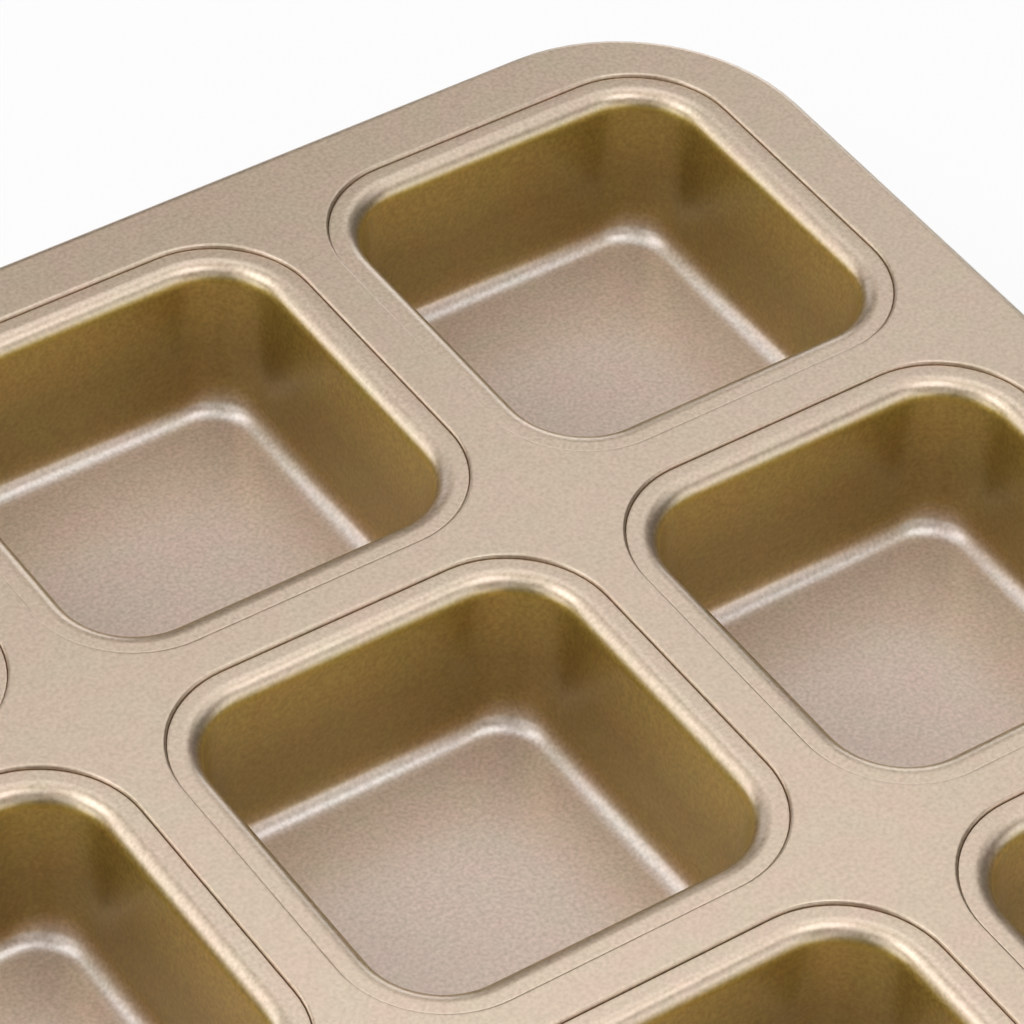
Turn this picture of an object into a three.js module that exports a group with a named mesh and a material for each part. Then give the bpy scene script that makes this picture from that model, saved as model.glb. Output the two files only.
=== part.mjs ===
// Baking pan with a grid of square mini loaf cups, in millimetres, +Z up.
// The origin is the middle of the pan, on the surface that the cups stand on. +X runs along the long side.
// The plate is one sheet. Each cup is a pressing of its own, locked into a collar round its hole in the plate.
import * as THREE from "three";
import { mergeVertices } from "three/addons/utils/BufferGeometryUtils.js";

// The grid of cups
const columns = 4;
const rows = 3;

// Sheet and overall height
const sheet = 0.6;
const panHeight = 30;

// Holes in the plate, the land between two of them and the border round them all
const holeWidth = 76.7;
const holeCornerRadius = 17.85;
const landWidth = 7.3;
const borderWidth = 11.75;
const plateCornerRadius = 34.5;

// Collar that is turned down round each hole
const collarDepth = 2.4;
const collarBend = 0.5;

// Lock seam: a cup's skirt runs down inside the collar and hooks round its lower edge
const seamGap = 0.3;
const hookHeight = 1.1;

// Cup: a flat ring just below the plate, a bend, a leaning wall, a fillet and a flat floor
const ringDrop = 0.6;
const ringEdgeRadius = 0.4;
const ringWidth = 1.65;
const mouthBend = 3.2;
const wallLean = THREE.MathUtils.degToRad(5);
const floorFillet = 4.2;

// Rolled border and the wire inside it
const wireDiameter = 1.6;
const wireGap = 0.3;
const rollTurn = THREE.MathUtils.degToRad(270);

// Flat faces that stand for each round
const cupCornerSteps = 4;
const plateCornerSteps = 5;
const bendSteps = 2;
const rollSteps = 6;
const wireSides = 6;

// Corners of a mesh that are closer than this share of the sheet are one corner
const weldShare = 1e-4;

const quarterTurn = Math.PI / 2;
const halfTurn = Math.PI;
const fullTurn = halfTurn + halfTurn;

// Closed loop of points round a rounded rectangle, anticlockwise seen from above.
function roundedLoop(centre, halfX, halfY, radius, steps, z) {
  const reachX = halfX - radius;
  const reachY = halfY - radius;
  const corners = [
    [reachX, reachY],
    [-reachX, reachY],
    [-reachX, -reachY],
    [reachX, -reachY],
  ];
  return corners.flatMap(([x, y], corner) =>
    Array.from({ length: steps + 1 }, (_, step) => {
      const turn = quarterTurn * (corner + step / steps);
      return new THREE.Vector3(
        centre.x + x + radius * Math.cos(turn),
        centre.y + y + radius * Math.sin(turn),
        z,
      );
    }),
  );
}

// Points of an arc in a section. A section point is x, the distance inward from a plan outline, and y, the height.
function arc(centre, radius, from, to, steps) {
  return Array.from({ length: steps + 1 }, (_, step) => {
    const turn = from + ((to - from) * step) / steps;
    return new THREE.Vector2(
      centre.x + radius * Math.cos(turn),
      centre.y + radius * Math.sin(turn),
    );
  });
}

// The back of a sheet whose front follows the path: each corner moves one thickness to the left of the way along it.
function backOf(path, thickness) {
  return path.map((point, i) => {
    const arrive = point.clone().sub(path[Math.max(i - 1, 0)]).normalize();
    const leave = path[Math.min(i + 1, path.length - 1)].clone().sub(point).normalize();
    const along = arrive.clone().add(leave).normalize();
    const left = new THREE.Vector2(-along.y, along.x);
    const ahead = i === 0 ? leave : arrive;
    return point.clone().addScaledVector(left, thickness / along.dot(ahead));
  });
}

// Collects triangles and closes them into one body.
class Skin {
  constructor() {
    this.corners = [];
  }

  triangle(a, b, c) {
    this.corners.push(a, b, c);
  }

  // Band between two loops that have the same number of points.
  band(upper, lower) {
    upper.forEach((point, i) => {
      const next = (i + 1) % upper.length;
      this.triangle(point, lower[i], lower[next]);
      this.triangle(point, lower[next], upper[next]);
    });
  }

  // Bands through a row of loops.
  bands(loops) {
    loops.slice(1).forEach((loop, i) => this.band(loops[i], loop));
  }

  // Flat face inside a loop, with holes. It faces up, or down when facesDown is true.
  face(outline, holes, facesDown) {
    const points = [outline, ...holes].flat();
    const triangles = THREE.ShapeUtils.triangulateShape(outline, holes);
    for (const [a, b, c] of triangles) {
      if (facesDown) this.triangle(points[a], points[c], points[b]);
      else this.triangle(points[a], points[b], points[c]);
    }
  }

  geometry() {
    const loose = new THREE.BufferGeometry().setFromPoints(this.corners);
    const closed = mergeVertices(loose, sheet * weldShare);
    closed.computeVertexNormals();
    return closed;
  }
}

const plateTop = panHeight;
const cupPitch = holeWidth + landWidth;
const holeHalf = holeWidth / 2;
const gridHalfX = ((columns - 1) * cupPitch) / 2;
const gridHalfY = ((rows - 1) * cupPitch) / 2;
const plateHalfX = gridHalfX + holeHalf + borderWidth;
const plateHalfY = gridHalfY + holeHalf + borderWidth;
const collarFoot = plateTop - collarDepth;

// Loop of a cup or hole at a distance inside its hole's outline. Its corners stay parallel to the hole's, and no
// corner is drawn tighter than the sheet is thick.
function holeLoop(centre, inset, z) {
  const half = holeHalf - inset;
  const radius = Math.max(holeCornerRadius - inset, sheet);
  return roundedLoop(centre, half, half, radius, cupCornerSteps, z);
}

// Loop of the plate at a distance inside its outline.
function plateLoop(inset, z) {
  const radius = plateCornerRadius - inset;
  const middle = new THREE.Vector2(0, 0);
  return roundedLoop(middle, plateHalfX - inset, plateHalfY - inset, radius, plateCornerSteps, z);
}

// Section of a cup from its floor's edge to the tip of its hook, along the face that holds the food and then along
// the face that meets the collar.
function cupPath() {
  const ringTop = plateTop - ringDrop;
  const floorTop = sheet;
  const normal = new THREE.Vector2(Math.cos(wallLean), Math.sin(wallLean));
  const down = new THREE.Vector2(Math.sin(wallLean), -Math.cos(wallLean));

  const ringOuter = seamGap + ringEdgeRadius;
  const bendCentre = new THREE.Vector2(ringOuter + ringWidth, ringTop - mouthBend);
  const wallTop = bendCentre.clone().addScaledVector(normal, mouthBend);
  const drop = wallTop.y + floorFillet * normal.y - floorTop - floorFillet;
  const wallFoot = wallTop.clone().addScaledVector(down, drop / -down.y);
  const filletCentre = wallFoot.clone().addScaledVector(normal, floorFillet);
  const fillet = arc(filletCentre, floorFillet, halfTurn + quarterTurn, halfTurn + wallLean, bendSteps);
  const bend = arc(bendCentre, mouthBend, wallLean, quarterTurn, bendSteps);

  const edge = [
    new THREE.Vector2(ringOuter, ringTop),
    new THREE.Vector2(seamGap, ringTop - ringEdgeRadius),
  ];
  const hookCentre = new THREE.Vector2(-sheet / 2, collarFoot);
  const hook = arc(hookCentre, sheet / 2 + seamGap, 0, -halfTurn, bendSteps);
  const tip = new THREE.Vector2(-sheet - seamGap, collarFoot + hookHeight);
  return [...fillet, ...bend, ...edge, ...hook, tip];
}

function cupGeometry() {
  const path = cupPath();
  const floorMiddle = new THREE.Vector2(holeHalf, sheet);
  const [, ...back] = backOf([floorMiddle, ...path], sheet);
  const centre = new THREE.Vector2(0, 0);
  const loops = [...path, ...back.reverse()].map((point) => holeLoop(centre, point.x, point.y));
  const skin = new Skin();
  skin.bands(loops);
  skin.face(loops[0], [], false);
  skin.face(loops.at(-1), [], true);
  return skin.geometry();
}

// Where the cups sit, row by row from the front.
function cupPlaces() {
  return Array.from({ length: rows }, (_, row) =>
    Array.from({ length: columns }, (_, column) => ({
      name: `cup_r${row + 1}_c${column + 1}`,
      centre: new THREE.Vector2(column * cupPitch - gridHalfX, row * cupPitch - gridHalfY),
    })),
  ).flat();
}

const wireRadius = wireDiameter / 2;
const rollRadius = wireRadius + wireGap + sheet;
const rollCentre = new THREE.Vector2(rollRadius, plateTop - rollRadius);

function plateGeometry() {
  const skin = new Skin();

  const outside = arc(rollCentre, rollRadius, quarterTurn, quarterTurn + rollTurn, rollSteps);
  const inside = arc(rollCentre, rollRadius - sheet, quarterTurn, quarterTurn + rollTurn, rollSteps);
  const roll = [...outside, ...inside.reverse()].map((point) => plateLoop(point.x, point.y));
  skin.bands(roll);

  const collar = [
    new THREE.Vector2(-collarBend, plateTop),
    new THREE.Vector2(0, plateTop - collarBend),
    new THREE.Vector2(0, collarFoot),
    new THREE.Vector2(-sheet, collarFoot),
    new THREE.Vector2(-sheet, plateTop - sheet),
  ];
  const collars = cupPlaces().map(({ centre }) =>
    collar.map((point) => holeLoop(centre, point.x, point.y)),
  );
  collars.forEach((loops) => skin.bands([...loops].reverse()));

  skin.face(roll[0], collars.map((loops) => loops[0]), false);
  skin.face(roll.at(-1), collars.map((loops) => loops.at(-1)), true);
  return skin.geometry();
}

function wireGeometry() {
  const round = arc(rollCentre, wireRadius, 0, fullTurn, wireSides);
  const loops = round.map((point) => plateLoop(point.x, point.y));
  loops[wireSides] = loops[0];
  const skin = new Skin();
  skin.bands(loops);
  return skin.geometry();
}

const coatedSteel = { color: 0xc6b599, metalness: 0.7, roughness: 0.42 };
const bareWire = { color: 0x9c9c9a, metalness: 1, roughness: 0.35 };

function piece(name, geometry, finish) {
  const mesh = new THREE.Mesh(geometry, new THREE.MeshStandardMaterial(finish));
  mesh.name = name;
  return mesh;
}

const pan = new THREE.Group();
pan.add(piece("top_plate", plateGeometry(), coatedSteel));
pan.add(piece("rim_wire", wireGeometry(), bareWire));
for (const { name, centre } of cupPlaces()) {
  const cup = piece(name, cupGeometry(), coatedSteel);
  cup.position.set(centre.x, centre.y, 0);
  pan.add(cup);
}

export default pan;
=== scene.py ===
"""Mini loaf pan: plate with collars and a rolled border, cups locked into it, a wire, and a pale studio."""
import math
import bpy
from mathutils import Euler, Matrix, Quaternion, Vector


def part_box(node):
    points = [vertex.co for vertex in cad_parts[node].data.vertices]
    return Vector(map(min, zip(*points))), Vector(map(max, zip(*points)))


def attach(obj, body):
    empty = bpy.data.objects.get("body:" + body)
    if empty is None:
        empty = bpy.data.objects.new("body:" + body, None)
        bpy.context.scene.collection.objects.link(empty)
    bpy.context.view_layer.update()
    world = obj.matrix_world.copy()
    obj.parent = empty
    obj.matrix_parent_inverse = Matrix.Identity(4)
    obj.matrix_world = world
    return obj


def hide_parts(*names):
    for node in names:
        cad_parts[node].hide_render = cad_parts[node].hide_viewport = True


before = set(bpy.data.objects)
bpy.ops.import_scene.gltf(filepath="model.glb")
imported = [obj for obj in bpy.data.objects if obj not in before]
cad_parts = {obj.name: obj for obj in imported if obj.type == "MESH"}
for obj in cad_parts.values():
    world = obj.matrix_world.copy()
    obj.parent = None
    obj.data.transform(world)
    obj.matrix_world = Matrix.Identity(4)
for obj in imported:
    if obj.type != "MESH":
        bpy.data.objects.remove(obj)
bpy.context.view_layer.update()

# Sheet and seam, in metres, as in the frame
SHEET = 0.0006
SEAM_GAP = 0.0001
HOOK_HEIGHT = 0.0011

# Plate: the holes with their collars, and the rolled border with its wire
BORDER_WIDTH = 0.01175
HOLE_CORNER_RADIUS = 0.01785
PLATE_CORNER_RADIUS = 0.0345
COLLAR_DEPTH = 0.0024
COLLAR_BEND = 0.0005
WIRE_RADIUS = 0.0008
WIRE_GAP = 0.0003
ROLL_TURN = math.radians(270)

# Cup: ring, bend, leaning wall, fillet and floor
RING_DROP = 0.0006
RING_EDGE_RADIUS = 0.00015
RING_WIDTH = 0.0021
MOUTH_BEND = 0.0032
WALL_LEAN = math.radians(5)
FLOOR_FILLET = 0.0042

# A flat face keeps a narrow band beside each bend, so that the bend's shading stays in the bend
BAND = 0.0003
FLOOR_SHARES = (0, 0.3, 0.6, 0.85, 0.97)

# Steps in each round
CORNER_STEPS = 16
SIDE_STEPS = 6
BEND_STEPS = 8
EDGE_STEPS = 4
ROLL_STEPS = 30
WIRE_SIDES = 20

# Edges sharper than the angle are hard, points closer than the weld are one, and row numbers closer than the
# last value are the same row
SHARP_ANGLE = math.radians(40)
WELD = 1e-6
SAME_ROW = 0.1

QUARTER = math.pi / 2

# Coating: its colour on the plate and outside the cups, and then its tones, its share of clear coat and its
# share of metal by height inside a cup, from the floor, over the drawn wall, to the ring. The tones by
# height are painted light and shade on one coating: a painted highlight at the wall's foot, painted shade
# down the drawn wall, painted light at its lip, and a painted highlight on the mouth bend
PLATE_COLOUR = (0.60, 0.455, 0.325)
FLOOR_TONE = (0.61, 0.47, 0.385)
# Painted highlight on the fillet at the foot of the wall
FOOT_PAINTED_HIGHLIGHT = (0.90, 0.80, 0.74)
# Painted shade on the drawn wall, a darker and deeper gold than the same coating on the plate
WALL_PAINTED_SHADE = (0.37, 0.26, 0.07)
# Painted light at the top of the drawn wall, brighter than the wall below
LIP_PAINTED_LIGHT = (0.66, 0.48, 0.12)
# Painted highlight on the mouth bend beside the ring
BEND_PAINTED_HIGHLIGHT = (0.65, 0.50, 0.36)
# Tones by height inside a cup, with painted highlights and painted shade
CUP_TONES_AND_PAINTED_LIGHT = {
    0.0007: FLOOR_TONE,
    0.0010: FOOT_PAINTED_HIGHLIGHT,
    0.0021: (0.70, 0.53, 0.40),
    0.0030: (0.56, 0.40, 0.20),
    0.0042: (0.43, 0.30, 0.09),
    0.0060: WALL_PAINTED_SHADE,
    0.0140: WALL_PAINTED_SHADE,
    0.0262: (0.54, 0.39, 0.10),
    0.0272: LIP_PAINTED_LIGHT,
    0.0282: (0.57, 0.43, 0.26),
    0.0287: BEND_PAINTED_HIGHLIGHT,
    0.0294: PLATE_COLOUR,
}
CUP_COATS = {0.0007: 0.6, 0.0010: 1, 0.0022: 1, 0.0035: 0.3, 0.0272: 0.3, 0.0281: 1}
CUP_METAL = {0.0008: 0.15, 0.0030: 0.9}

# In a cup's corners the painted highlight at the wall's foot climbs higher, by this share. A corner starts
# and is full where both ways from the cup's middle reach these distances. The climb comes in and fades out
# over these heights.
PAINTED_HIGHLIGHT_CLIMB = 0.45
CORNER_START, CORNER_FULL = 0.0205, 0.0270
CLIMB_IN = (0.001, 0.0025)
CLIMB_OUT = (0.006, 0.016)

# The plate's share of metal, and the roughness under and in the clear coat
PLATE_METAL = 0.9
BASE_ROUGHNESS = 0.42
COAT_ROUGHNESS = 0.24
COAT_IOR = 2.0

# Flakes in the coating, soft clouds of them, and faint cool and warm patches
FLAKE_SIZE = 0.0007
PLATE_FLAKES = 0.155
CUP_FLAKES = 0.185
FLAKE_TONE = (0.93, 1.0, 1.12)
FLAKE_ROUGHNESS = 0.03
FLAKE_HEIGHT = 0.000004
CLOUD_SIZE = 0.0028
CLOUD_CONTRAST = 0.02
MOTTLE_SIZE = 0.007
MOTTLE_DETAIL = 1.0
MOTTLE_COOL = (0.955, 1.0, 0.97)
MOTTLE_WARM = (1.0, 0.96, 0.98)

# A noise value is spread out so that this range of it fills the range from -1 to 1
NOISE_LOW, NOISE_HIGH = 0.25, 0.75
NOISE_DETAIL = 2.0

# Steel of the wire
STEEL_COLOUR = (0.60, 0.60, 0.59)
STEEL_DULL = 0.75
STEEL_PATCH = 0.008
STEEL_PATCH_EDGES = (-0.3, 0.9)
STEEL_STREAK = 0.0004
STEEL_DETAIL = 3.0
STEEL_ROUGHNESS = 0.35
STEEL_STREAK_ROUGHNESS = 0.06
STEEL_STREAK_HEIGHT = 0.000004

# Studio: the sky, the floor a hair below the cups, and soft lamps. A lamp has its compass direction,
# clockwise from the far side, and its height above the floor, both in degrees, then its distance and level.
SKY = 0.02
FLOOR_WHITE = 0.95
FLOOR_ROUGHNESS = 0.9
FLOOR_GLOW = 0.85
FLOOR_SIZE = 12
FLOOR_TOP = -0.0001
AIM = Vector((0.05, 0.04, 0.03))
LAMP_SPREAD = 0.5
DIM = 0.04
MEDIUM = 0.055
FULL = 0.08
STRONG = 0.10
KEY = 0.14
LAMPS = {
    "left strip": (270, 14, 1.1, STRONG),
    "back left strip": (315, 14, 1.6, STRONG),
    "back strip": (0, 23, 1.6, DIM),
    "back right strip": (45, 14, 1.6, FULL),
    "front right strip": (135, 14, 0.8, MEDIUM),
    "front strip": (180, 14, 0.8, MEDIUM),
    "left window": (250, 32, 1.1, MEDIUM),
    "back left window": (306, 32, 1.6, MEDIUM),
    "front right low window": (158, 18, 0.8, DIM),
    "front right window": (149, 32, 0.8, MEDIUM),
    "front left window": (202, 32, 1.1, DIM),
    "left softbox": (285, 50, 1.1, KEY),
    "back left softbox": (328, 46, 1.6, DIM),
    "back softbox": (10, 50, 1.6, DIM),
    "back right softbox": (50, 50, 1.6, MEDIUM),
    "right softbox": (100, 50, 1.1, DIM),
    "back left overhead": (300, 68, 1.6, FULL),
    "back overhead": (30, 68, 1.6, MEDIUM),
    "right overhead": (84, 68, 1.1, DIM),
    "front overhead": (150, 68, 0.8, KEY),
    "front left overhead": (210, 68, 0.8, MEDIUM),
}
LAMP_UNIT = 4 * math.pi

# Camera at the photograph's angle, fitted to the seams that it shows: its lens and sensor in millimetres,
# its place, and its turn as axis times angle
CAMERA_LENS = 192.06
CAMERA_SENSOR = 36
CAMERA_PLACE = (-0.29313, -0.43885, 0.62264)
CAMERA_TURN = Vector((0.7560978, -0.2886090, -0.5515574))

# Places that come from the frame
plate_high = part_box("top_plate")[1]
PLATE_TOP = plate_high.z
COLLAR_FOOT = PLATE_TOP - COLLAR_DEPTH
ROLL_RADIUS = WIRE_RADIUS + WIRE_GAP + SHEET
cup_names = sorted(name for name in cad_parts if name.startswith("cup_"))
cup_boxes = {name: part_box(name) for name in cup_names}
cup_centres = {name: (low + high) / 2 for name, (low, high) in cup_boxes.items()}
HOLE_HALF = plate_high.x - max(centre.x for centre in cup_centres.values()) - BORDER_WIDTH
columns = sorted({round(centre.x, 6) for centre in cup_centres.values()})
rows = sorted({round(centre.y, 6) for centre in cup_centres.values()})
CUP_PITCH = columns[1] - columns[0]


def arc(centre, radius, start, end, steps):
    """Section points of an arc. Each is the distance inward from an outline, and the height."""
    turns = [start + (end - start) * step / steps for step in range(steps + 1)]
    return [centre + radius * Vector((math.cos(turn), math.sin(turn))) for turn in turns]


def back_of(path, thickness):
    """The back of a sheet whose front follows the path, one thickness to the left of the way along it."""
    back = []
    for i, point in enumerate(path):
        arrive = (point - path[i - 1]).normalized() if i > 0 else None
        leave = (path[i + 1] - point).normalized() if i + 1 < len(path) else None
        ahead = arrive or leave
        along = ((arrive or leave) + (leave or arrive)).normalized()
        left = Vector((-along.y, along.x))
        back.append(point + left * (thickness / along.dot(ahead)))
    return back


def between(start, end, shares):
    """Points on the straight line between two points."""
    return [start.lerp(end, share) for share in shares]


def swept(points):
    """Section points as the loft takes them: distance inward, share of the loop's size, and height."""
    return [Vector((point.x, 1, point.y)) for point in points]


def cup_section():
    """Section of a cup, from the middle of its floor, over the ring, round the hook and back underneath.

    Also gives the number of rows on the face that holds the food, which come first.
    """
    ring_top = PLATE_TOP - RING_DROP
    normal = Vector((math.cos(WALL_LEAN), math.sin(WALL_LEAN)))
    down = Vector((math.sin(WALL_LEAN), -math.cos(WALL_LEAN)))
    ring_outer = SEAM_GAP + RING_EDGE_RADIUS
    bend_centre = Vector((ring_outer + RING_WIDTH, ring_top - MOUTH_BEND))
    wall_top = bend_centre + normal * MOUTH_BEND
    drop = wall_top.y + FLOOR_FILLET * normal.y - SHEET - FLOOR_FILLET
    wall_foot = wall_top + down * (drop / -down.y)
    fillet_centre = wall_foot + normal * FLOOR_FILLET
    edge_centre = Vector((ring_outer, ring_top - RING_EDGE_RADIUS))
    hook_centre = Vector((-SHEET / 2, COLLAR_FOOT))
    hook_radius = SHEET / 2 + SEAM_GAP
    fillet = arc(fillet_centre, FLOOR_FILLET, 3 * QUARTER, math.pi + WALL_LEAN, BEND_STEPS)
    wall_band = BAND / drop
    wall = between(wall_foot, wall_top, (wall_band, 1 / 3, 2 / 3, 1 - wall_band))
    bend = arc(bend_centre, MOUTH_BEND, WALL_LEAN, QUARTER, BEND_STEPS)
    ring_band = BAND / RING_WIDTH
    ring = between(bend[-1], Vector((ring_outer, ring_top)), (ring_band, 1 - ring_band))
    edge = arc(edge_centre, RING_EDGE_RADIUS, QUARTER, math.pi, EDGE_STEPS)
    hook = arc(hook_centre, hook_radius, 0, -math.pi, BEND_STEPS)
    tip = hook[-1] + Vector((0, HOOK_HEIGHT))
    floor_edge = Vector((fillet[0].x, SHEET))
    guide = floor_edge + Vector((BAND, 0))
    corner = Vector((SEAM_GAP, ring_top))
    inner = [*fillet, *wall, *bend, *ring]
    front = [*inner, *edge, *hook, tip]
    back = back_of([guide, *inner, corner, *hook, tip], SHEET)[1:]
    floor = [Vector((floor_edge.x, share, SHEET)) for share in FLOOR_SHARES]
    underside = [Vector((floor_edge.x, share, 0)) for share in reversed(FLOOR_SHARES)]
    return floor + swept(front) + swept(reversed(back)) + underside, len(floor) + len(inner)


def roll_section():
    """Section of the rolled border, from the plate's top, round the wire and back to its underside."""
    centre = Vector((ROLL_RADIUS, PLATE_TOP - ROLL_RADIUS))
    inner = ROLL_RADIUS - SHEET
    outside = arc(centre, ROLL_RADIUS, QUARTER, QUARTER + ROLL_TURN, ROLL_STEPS)
    inside = arc(centre, inner, QUARTER + ROLL_TURN, QUARTER, ROLL_STEPS)
    start = outside[0] + Vector((BAND, 0))
    end = inside[-1] + Vector((BAND, 0))
    return swept([start, *outside, *inside, end])


def collar_section():
    """Section of a hole's collar, from the plate's underside, round its foot and up to the top."""
    centre = Vector((-COLLAR_BEND, PLATE_TOP - COLLAR_BEND))
    over = arc(centre, COLLAR_BEND, 0, QUARTER, BEND_STEPS)
    under = Vector((-SHEET, PLATE_TOP - SHEET))
    foot = [Vector((-SHEET, COLLAR_FOOT)), Vector((0, COLLAR_FOOT))]
    start = under - Vector((BAND, 0))
    end = over[-1] - Vector((BAND, 0))
    return swept([start, under, *foot, *over, end])


def wire_section():
    """Round section of the wire, closed on its first point."""
    centre = Vector((ROLL_RADIUS, PLATE_TOP - ROLL_RADIUS))
    return swept(arc(centre, WIRE_RADIUS, 0, 4 * QUARTER, WIRE_SIDES))


class Nodes:
    """Short calls for the sockets, nodes and links of a node tree."""

    def __init__(self, tree):
        self.tree = tree

    def add(self, kind, values=None, output=0, **settings):
        """Adds a node, sets or links its inputs by name or number, and gives one of its outputs."""
        node = self.tree.nodes.new(kind)
        for key, value in settings.items():
            setattr(node, key, value)
        for key, value in (values or {}).items():
            for one in value if isinstance(value, list) else [value]:
                self.set(node.inputs[key], one)
        return node.outputs[output]

    def set(self, socket, value):
        if isinstance(value, bpy.types.NodeSocket):
            self.tree.links.new(value, socket)
        else:
            socket.default_value = value

    def math(self, operation, a, b=0.0):
        return self.add("ShaderNodeMath", {0: a, 1: b}, operation=operation)

    def vector(self, operation, a, b):
        return self.add("ShaderNodeVectorMath", {0: a, 1: b}, operation=operation)

    def combine(self, x, y, z):
        return self.add("ShaderNodeCombineXYZ", {0: x, 1: y, 2: z})


class Tree(Nodes):
    """A geometry node tree with named inputs."""

    def __init__(self, name, inputs):
        super().__init__(bpy.data.node_groups.new(name, "GeometryNodeTree"))
        self.tree.interface.new_socket("Geometry", in_out="OUTPUT", socket_type="NodeSocketGeometry")
        for label, kind in inputs.items():
            self.tree.interface.new_socket(label, in_out="INPUT", socket_type=f"NodeSocket{kind}")
        self.inputs = self.tree.nodes.new("NodeGroupInput").outputs

    def whole(self, operation, a, b):
        return self.add("FunctionNodeIntegerMath", {0: a, 1: b}, operation=operation)

    def finish(self, geometry):
        self.tree.links.new(geometry, self.tree.nodes.new("NodeGroupOutput").inputs[0])
        return self.tree


LOFT_SIZES = {
    "Half Length": "Float",
    "Half Width": "Float",
    "Corner Radius": "Float",
    "Corner Steps": "Int",
    "Side Steps": "Int",
}


def loft_tree():
    """Sweeps a section round a rounded rectangle. The corners stay parallel at every distance inward."""
    t = Tree("loft round a rounded rectangle", {"Section": "Geometry", **LOFT_SIZES})
    section = t.inputs["Section"]
    corner_steps = t.inputs["Corner Steps"]
    side_steps = t.inputs["Side Steps"]
    section_count = t.add("GeometryNodeAttributeDomainSize", {0: section})
    side_spans = t.whole("ADD", side_steps, 1)
    corner_count = t.whole("ADD", corner_steps, side_spans)
    loop_count = t.whole("ADD", t.whole("MULTIPLY", corner_count, 4), 1)
    grid = t.add("GeometryNodeMeshGrid", {"Vertices X": section_count, "Vertices Y": loop_count})

    index = t.add("GeometryNodeInputIndex")
    row = t.whole("DIVIDE_FLOOR", index, loop_count)
    place = t.whole("MODULO", index, loop_count)
    corner = t.whole("DIVIDE_FLOOR", place, corner_count)
    step = t.whole("MODULO", place, corner_count)

    # Round the corner first, then along the side to the next corner, with close steps at both of its ends
    turned = t.math("DIVIDE", t.whole("MINIMUM", step, corner_steps), corner_steps)
    along = t.math("DIVIDE", t.whole("MAXIMUM", t.whole("SUBTRACT", step, corner_steps), 0), side_spans)
    eased = t.add("ShaderNodeMapRange", {"Value": along}, interpolation_type="SMOOTHSTEP")
    angle = t.math("MULTIPLY", t.math("ADD", corner, turned), QUARTER)
    outward = t.combine(t.math("COSINE", angle), t.math("SINE", angle), 0.0)

    def corner_sign(number):
        turn = t.math("MULTIPLY", t.math("ADD", number, 0.5), QUARTER)
        across = t.combine(t.math("COSINE", turn), t.math("SINE", turn), 0.0)
        return t.vector("SIGN", across, (0, 0, 0))

    here, ahead = corner_sign(corner), corner_sign(t.whole("ADD", corner, 1))
    # Inputs 4 and 5 and output 1 of a mix node are its vectors
    sign = t.add("ShaderNodeMix", {0: eased, 4: here, 5: ahead}, output=1, data_type="VECTOR")
    radius = t.inputs["Corner Radius"]
    reach_x = t.math("SUBTRACT", t.inputs["Half Length"], radius)
    reach_y = t.math("SUBTRACT", t.inputs["Half Width"], radius)
    centre = t.vector("MULTIPLY", sign, t.combine(reach_x, reach_y, 0.0))

    position = t.add("GeometryNodeInputPosition")
    sample = {"Geometry": section, "Value": position, "Index": row}
    point = t.add("GeometryNodeSampleIndex", sample, data_type="FLOAT_VECTOR")
    parts = t.add("ShaderNodeSeparateXYZ", {0: point}).node.outputs
    inset, share, height = parts[0], parts[1], parts[2]
    bend = t.math("SUBTRACT", radius, inset)
    bulge = t.add("ShaderNodeVectorMath", {0: outward, "Scale": bend}, operation="SCALE")
    loop = t.vector("ADD", centre, bulge)
    sized = t.add("ShaderNodeVectorMath", {0: loop, "Scale": share}, operation="SCALE")
    placed = t.vector("ADD", sized, t.combine(0.0, 0.0, height))

    mesh = t.add("GeometryNodeSetPosition", {"Geometry": grid, "Position": placed})
    label = {"Geometry": mesh, "Name": "row", "Value": row}
    numbered = t.add("GeometryNodeStoreNamedAttribute", label, data_type="FLOAT", domain="POINT")
    return t.finish(t.add("GeometryNodeMergeByDistance", {"Geometry": numbered, "Distance": WELD}))


def loft(t, tree, section, half_length, half_width, radius):
    """The loft of a section in another tree, with that tree's steps."""
    values = {
        "Section": section,
        "Half Length": half_length,
        "Half Width": half_width,
        "Corner Radius": radius,
        "Corner Steps": t.inputs["Corner Steps"],
        "Side Steps": t.inputs["Side Steps"],
    }
    return t.add("GeometryNodeGroup", values, node_tree=tree)


def skinned(t, mesh):
    """The mesh welded and smooth, with hard edges where the sheet is cut, its finish on it."""
    welded = t.add("GeometryNodeMergeByDistance", {"Geometry": mesh, "Distance": WELD})
    smooth = t.add("GeometryNodeSetShadeSmooth", {"Geometry": welded, "Shade Smooth": True}, domain="FACE")
    angle = t.add("GeometryNodeInputMeshEdgeAngle")
    hard = t.math("GREATER_THAN", angle, SHARP_ANGLE)
    cut = {"Geometry": smooth, "Selection": hard, "Shade Smooth": False}
    edged = t.add("GeometryNodeSetShadeSmooth", cut, domain="EDGE")
    real = t.add("GeometryNodeRealizeInstances", {"Geometry": edged})
    return t.add("GeometryNodeSetMaterial", {"Geometry": real, "Material": t.inputs["Finish"]})


def pressing_tree(loft_group):
    """One pressing or ring of wire: the loft of the object's own section, set down at its centre."""
    sockets = {"Section": "Geometry", **LOFT_SIZES, "Centre": "Vector", "Finish": "Material"}
    t = Tree("pressing", sockets)
    sizes = [t.inputs[name] for name in ("Half Length", "Half Width", "Corner Radius")]
    mesh = loft(t, loft_group, t.inputs["Section"], *sizes)
    placed = t.add("GeometryNodeTransform", {"Geometry": mesh, "Translation": t.inputs["Centre"]})
    return t.finish(skinned(t, placed))


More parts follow.
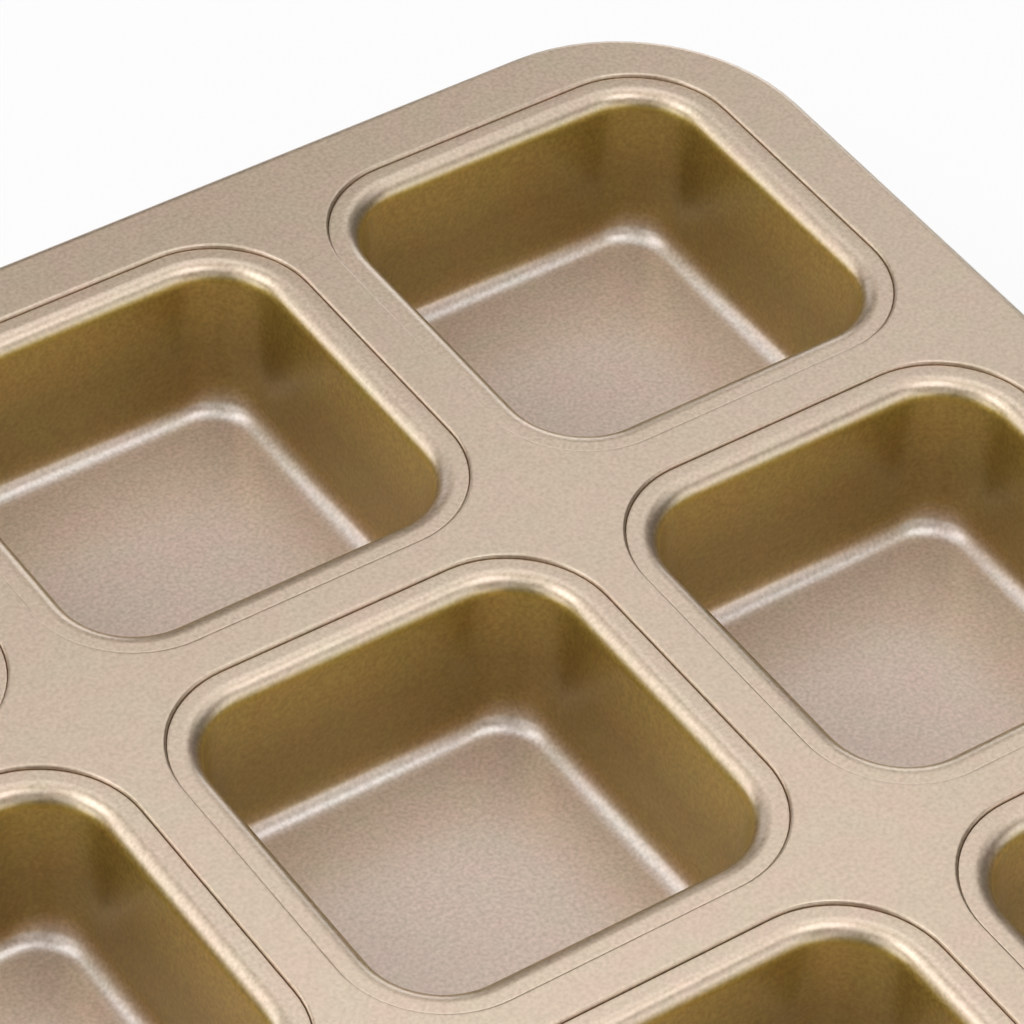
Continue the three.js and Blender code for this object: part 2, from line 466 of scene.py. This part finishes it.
def plate_tree(loft_group):
    """The plate: a collar at each place of the grid, the rolled border, and the two faces between them."""
    sockets = {
        "Section": "Geometry",
        **LOFT_SIZES,
        "Hole Half Width": "Float",
        "Hole Corner Radius": "Float",
        "Columns": "Int",
        "Rows": "Int",
        "Pitch": "Float",
        "Top": "Float",
        "Sheet": "Float",
        "Finish": "Material",
    }
    t = Tree("plate", sockets)
    is_collar = t.add("GeometryNodeInputNamedAttribute", {"Name": "collar"}, data_type="BOOLEAN")
    split = t.add("GeometryNodeSeparateGeometry", {0: t.inputs["Section"], 1: is_collar}).node.outputs
    hole_half = t.inputs["Hole Half Width"]
    collar = loft(t, loft_group, split[0], hole_half, hole_half, t.inputs["Hole Corner Radius"])
    sizes = [t.inputs[name] for name in ("Half Length", "Half Width", "Corner Radius")]
    roll = loft(t, loft_group, split[1], *sizes)

    span_x = t.math("MULTIPLY", t.whole("SUBTRACT", t.inputs["Columns"], 1), t.inputs["Pitch"])
    span_y = t.math("MULTIPLY", t.whole("SUBTRACT", t.inputs["Rows"], 1), t.inputs["Pitch"])
    counts = {"Vertices X": t.inputs["Columns"], "Vertices Y": t.inputs["Rows"]}
    places = t.add("GeometryNodeMeshGrid", {"Size X": span_x, "Size Y": span_y, **counts})
    copies = t.add("GeometryNodeInstanceOnPoints", {"Points": places, "Instance": collar})
    collars = t.add("GeometryNodeRealizeInstances", {"Geometry": copies})

    row = t.add("GeometryNodeInputNamedAttribute", {"Name": "row"}, data_type="FLOAT")

    def edge(mesh, last):
        """The first or the last row of a loft as curves."""
        found = row
        if last:
            counted = {"Geometry": mesh, "Attribute": row}
            most = t.add("GeometryNodeAttributeStatistic", counted, output="Max")
            found = t.math("SUBTRACT", row, most)
        same = {"A": found, "B": 0.0, "Epsilon": SAME_ROW}
        rim = t.add("FunctionNodeCompare", same, operation="EQUAL", data_type="FLOAT")
        return t.add("GeometryNodeMeshToCurve", {"Mesh": mesh, "Selection": rim})

    def face(outer, inner, height):
        outline = t.add("GeometryNodeJoinGeometry", {0: [outer, inner]})
        filled = t.add("GeometryNodeFillCurve", {"Curve": outline})
        lift = t.combine(0.0, 0.0, height)
        return t.add("GeometryNodeTransform", {"Geometry": filled, "Translation": lift})

    top = face(edge(roll, False), edge(collars, True), t.inputs["Top"])
    low = t.math("SUBTRACT", t.inputs["Top"], t.inputs["Sheet"])
    under = t.add("GeometryNodeFlipFaces", {0: face(edge(roll, True), edge(collars, False), low)})
    return t.finish(skinned(t, t.add("GeometryNodeJoinGeometry", {0: [roll, collars, top, under]})))


def added(name, data):
    """An object in the scene for the given data."""
    thing = bpy.data.objects.new(name, data)
    bpy.context.scene.collection.objects.link(thing)
    return thing


def made(name, tree, points, values, marks=None):
    """A plain mesh object that the tree makes from section points."""
    mesh = bpy.data.meshes.new(name)
    mesh.from_pydata(points, [], [])
    for label, flags in (marks or {}).items():
        mesh.attributes.new(label, "BOOLEAN", "POINT").data.foreach_set("value", flags)
    piece = added(name, mesh)
    modifier = piece.modifiers.new("form", "NODES")
    modifier.node_group = tree
    for item in tree.interface.items_tree:
        if item.in_out == "INPUT" and item.name in values:
            modifier[item.identifier] = values[item.name]
    graph = bpy.context.evaluated_depsgraph_get()
    solved = bpy.data.meshes.new_from_object(piece.evaluated_get(graph))
    piece.modifiers.remove(modifier)
    piece.data = solved
    bpy.data.meshes.remove(mesh)
    return piece


class Finish(Nodes):
    """A material whose shader inputs come from patterns on the object's own coordinates."""

    def __init__(self, name):
        self.material = bpy.data.materials.new(name)
        self.material.use_nodes = True
        super().__init__(self.material.node_tree)
        self.shader = self.tree.nodes["Principled BSDF"].inputs
        self.place = self.add("ShaderNodeTexCoord", output="Object")

    def grain(self, size, detail=NOISE_DETAIL):
        """Noise from -1 to 1 whose grains have about the given size."""
        values = {"Vector": self.place, "Scale": 1 / size, "Detail": detail}
        value = self.add("ShaderNodeTexNoise", values)
        reach = {"From Min": NOISE_LOW, "From Max": NOISE_HIGH, "To Min": -1.0, "To Max": 1.0}
        return self.add("ShaderNodeMapRange", {"Value": value, **reach})

    def mix(self, factor, a, b, blend="MIX"):
        """Two colours mixed. Inputs 6 and 7 and output 2 of a mix node are its colours."""
        values = {0: factor, 6: a, 7: b}
        return self.add("ShaderNodeMix", values, output=2, data_type="RGBA", blend_type=blend)

    def ramp(self, value, tones, end):
        """Colour along a value that runs from 0 to the end, with a tone at each given place."""
        colour = self.add("ShaderNodeValToRGB", {"Fac": self.math("DIVIDE", value, end)})
        stops = colour.node.color_ramp.elements
        while len(stops) < len(tones):
            stops.new(1)
        for stop, (place, tone) in zip(stops, sorted(tones.items())):
            stop.position = place / end
            stop.color = rgba(tone)
        return colour

    def shares(self, value, shares, end):
        """Number along a value that runs from 0 to the end, with a share at each given place."""
        greys = {place: (share, share, share) for place, share in shares.items()}
        return self.ramp(value, greys, end)

    def corners(self, start, full):
        """1 in the corners of every cup, and 0 along its sides."""
        middle = next(iter(cup_centres.values()))
        reach = Vector((CUP_PITCH / 2, CUP_PITCH / 2, 1))
        away = self.vector("SUBTRACT", self.place, (middle.x, middle.y, 0))
        own = self.add("ShaderNodeVectorMath", {0: away, 1: reach, 2: -reach}, operation="WRAP")
        positive = self.vector("ABSOLUTE", own, (0, 0, 0))
        ways = self.add("ShaderNodeSeparateXYZ", {0: positive}).node.outputs
        return self.blend(self.math("MINIMUM", ways[0], ways[1]), start, full)

    def blend(self, value, start, end):
        """0 below the start, 1 above the end."""
        values = {"Value": value, "From Min": start, "From Max": end}
        return self.add("ShaderNodeMapRange", values, interpolation_type="SMOOTHSTEP")

    def finish(self, **inputs):
        for key, value in inputs.items():
            self.set(self.shader[key.replace("_", " ")], value)
        return self.material


def rgba(colour):
    return (*colour, 1)


def coating(name, inside_rows=0):
    """Champagne coating: a metallic base under a smooth clear coat, with fine flakes and faint mottling.

    In a cup it changes with the height over the given number of rows, which paints highlights at the wall's
    foot and the mouth bend and shade on the wall, and is the plate's on the rest.
    """
    f = Finish(name)
    colour = rgba(PLATE_COLOUR)
    coat = 1
    metal = PLATE_METAL
    contrast = PLATE_FLAKES
    if inside_rows:
        height = f.add("ShaderNodeSeparateXYZ", {0: f.place}, output="Z")
        # Painted highlight: in the corners the pale foot tone reaches higher up the wall
        foot = f.math("SUBTRACT", f.blend(height, *CLIMB_IN), f.blend(height, *CLIMB_OUT))
        corner_highlight_foot = f.math("MULTIPLY", f.corners(CORNER_START, CORNER_FULL), foot)
        climb = f.math("MULTIPLY", corner_highlight_foot, PAINTED_HIGHLIGHT_CLIMB)
        height = f.math("DIVIDE", height, f.math("ADD", climb, 1.0))
        row = f.add("ShaderNodeAttribute", output="Fac", attribute_name="row")
        outside = f.math("GREATER_THAN", row, inside_rows - 0.5)
        # The tones by height paint light and shade on the cup: highlights at the foot and mouth bend, shade
        # on the wall
        colour = f.mix(outside, f.ramp(height, CUP_TONES_AND_PAINTED_LIGHT, PLATE_TOP), colour)
        coat = f.math("MAXIMUM", f.shares(height, CUP_COATS, PLATE_TOP), outside)
        outside_metal = f.math("MULTIPLY", outside, PLATE_METAL)
        metal = f.math("MAXIMUM", f.shares(height, CUP_METAL, PLATE_TOP), outside_metal)
        contrast = CUP_FLAKES
    flakes = f.grain(FLAKE_SIZE)
    clouds = f.grain(CLOUD_SIZE)
    mottle = f.grain(MOTTLE_SIZE, MOTTLE_DETAIL)
    warmth = f.add("ShaderNodeMath", {0: mottle, 1: 0.5, 2: 0.5}, operation="MULTIPLY_ADD")
    tint = f.mix(warmth, rgba(MOTTLE_COOL), rgba(MOTTLE_WARM))
    tinted = f.mix(1.0, colour, tint, "MULTIPLY")
    fine = f.math("MULTIPLY", flakes, contrast)
    soft = f.math("MULTIPLY", clouds, CLOUD_CONTRAST)
    shade = f.math("ADD", fine, soft)
    toned = {0: shade, 1: FLAKE_TONE, 2: (1, 1, 1)}
    level = f.add("ShaderNodeVectorMath", toned, operation="MULTIPLY_ADD")
    speckled = f.vector("MULTIPLY", tinted, level)
    roughness = f.math("ADD", f.math("MULTIPLY", flakes, FLAKE_ROUGHNESS), BASE_ROUGHNESS)
    bump = f.add("ShaderNodeBump", {"Strength": 1.0, "Distance": FLAKE_HEIGHT, "Height": flakes})
    return f.finish(
        Base_Color=speckled,
        Metallic=metal,
        Roughness=roughness,
        Normal=bump,
        Coat_Weight=coat,
        Coat_Roughness=COAT_ROUGHNESS,
        Coat_IOR=COAT_IOR,
    )


def drawn_steel(name, colour):
    """Bare steel wire with streaks and a few dull patches."""
    f = Finish(name)
    patches = f.blend(f.grain(STEEL_PATCH), *STEEL_PATCH_EDGES)
    streaks = f.grain(STEEL_STREAK, STEEL_DETAIL)
    dull = tuple(part * STEEL_DULL for part in colour)
    tone = f.mix(patches, rgba(colour), rgba(dull))
    roughness = f.math("ADD", f.math("MULTIPLY", streaks, STEEL_STREAK_ROUGHNESS), STEEL_ROUGHNESS)
    bump = f.add("ShaderNodeBump", {"Strength": 1.0, "Distance": STEEL_STREAK_HEIGHT, "Height": streaks})
    return f.finish(Base_Color=tone, Metallic=1, Roughness=roughness, Normal=bump)


def white_paper(name, glow):
    """White floor. The camera and reflections see it mixed with pure white, so its shadow is faint."""
    f = Finish(name)
    f.finish(Base_Color=rgba((FLOOR_WHITE, FLOOR_WHITE, FLOOR_WHITE)), Roughness=FLOOR_ROUGHNESS)
    rays = f.add("ShaderNodeLightPath").node.outputs
    mirrored = f.math("ADD", rays["Is Glossy Ray"], rays["Is Transmission Ray"])
    seen = f.math("MULTIPLY", f.math("ADD", rays["Is Camera Ray"], mirrored), glow)
    lit = f.tree.nodes["Principled BSDF"].outputs[0]
    pure = f.add("ShaderNodeEmission", {"Strength": 1.0})
    mixed = f.add("ShaderNodeMixShader", {0: seen, 1: lit, 2: pure})
    f.set(f.tree.nodes["Material Output"].inputs["Surface"], mixed)
    return f.material


def hang_lamp(name, azimuth, elevation, distance, strength):
    """A round soft lamp that looks at the pan. Its size and power grow with its distance."""
    data = bpy.data.lights.new(name, "AREA")
    data.shape = "DISK"
    data.size = LAMP_SPREAD * distance
    data.energy = strength * LAMP_UNIT * distance ** 2
    lamp = added(name, data)
    turn = Euler((math.radians(90 - elevation), 0, math.radians(180 - azimuth)))
    lamp.rotation_euler = turn
    lamp.location = AIM + turn.to_matrix() @ Vector((0, 0, distance))


# Finishes and trees
cup_points, inside_rows = cup_section()
plate_finish = coating("coated plate")
cup_finish = coating("coated cup", inside_rows)
wire_finish = drawn_steel("steel wire", STEEL_COLOUR)

loft_group = loft_tree()
pressing = pressing_tree(loft_group)

# Outlines that the lofts follow
steps = {"Corner Steps": CORNER_STEPS, "Side Steps": SIDE_STEPS}
hole = {"Half Length": HOLE_HALF, "Half Width": HOLE_HALF, "Corner Radius": HOLE_CORNER_RADIUS}
outline = {"Half Length": plate_high.x, "Half Width": plate_high.y, "Corner Radius": PLATE_CORNER_RADIUS}

# Cups
for name, centre in cup_centres.items():
    values = {**steps, **hole, "Centre": (centre.x, centre.y, 0), "Finish": cup_finish}
    cup = made(f"pressed_{name}", pressing, cup_points, values)
    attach(cup, "root")
    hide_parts(name)

# Wire
values = {**steps, **outline, "Centre": (0, 0, 0), "Finish": wire_finish}
wire = made("border_wire", pressing, wire_section(), values)
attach(wire, "root")
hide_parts("rim_wire")

# Plate
roll_points = roll_section()
collar_points = collar_section()
marks = {"collar": [False] * len(roll_points) + [True] * len(collar_points)}
values = {
    **steps,
    **outline,
    "Hole Half Width": HOLE_HALF,
    "Hole Corner Radius": HOLE_CORNER_RADIUS,
    "Columns": len(columns),
    "Rows": len(rows),
    "Pitch": CUP_PITCH,
    "Top": PLATE_TOP,
    "Sheet": SHEET,
    "Finish": plate_finish,
}
plate = made("coated_plate", plate_tree(loft_group), roll_points + collar_points, values, marks)
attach(plate, "root")
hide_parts("top_plate")

# Camera
camera_data = bpy.data.cameras.new("camera")
camera_data.lens = CAMERA_LENS
camera_data.sensor_width = CAMERA_SENSOR
camera = added("camera", camera_data)
camera.location = CAMERA_PLACE
camera.rotation_mode = "QUATERNION"
camera.rotation_quaternion = Quaternion(CAMERA_TURN.normalized(), CAMERA_TURN.length)
bpy.context.scene.camera = camera

# Sky and lamps
world = bpy.data.worlds.new("studio")
bpy.context.scene.world = world
world.use_nodes = True
background = world.node_tree.nodes["Background"].inputs
background["Color"].default_value = rgba((1, 1, 1))
background["Strength"].default_value = SKY
bpy.context.scene.view_settings.view_transform = "Standard"
for name, place_and_strength in LAMPS.items():
    hang_lamp(name, *place_and_strength)

# Floor
floor_mesh = bpy.data.meshes.new("floor")
half = FLOOR_SIZE / 2
sides = [(-half, -half), (half, -half), (half, half), (-half, half)]
floor_mesh.from_pydata([(x, y, FLOOR_TOP) for x, y in sides], [], [(0, 1, 2, 3)])
floor_mesh.materials.append(white_paper("white paper", FLOOR_GLOW))
floor = added("floor", floor_mesh)
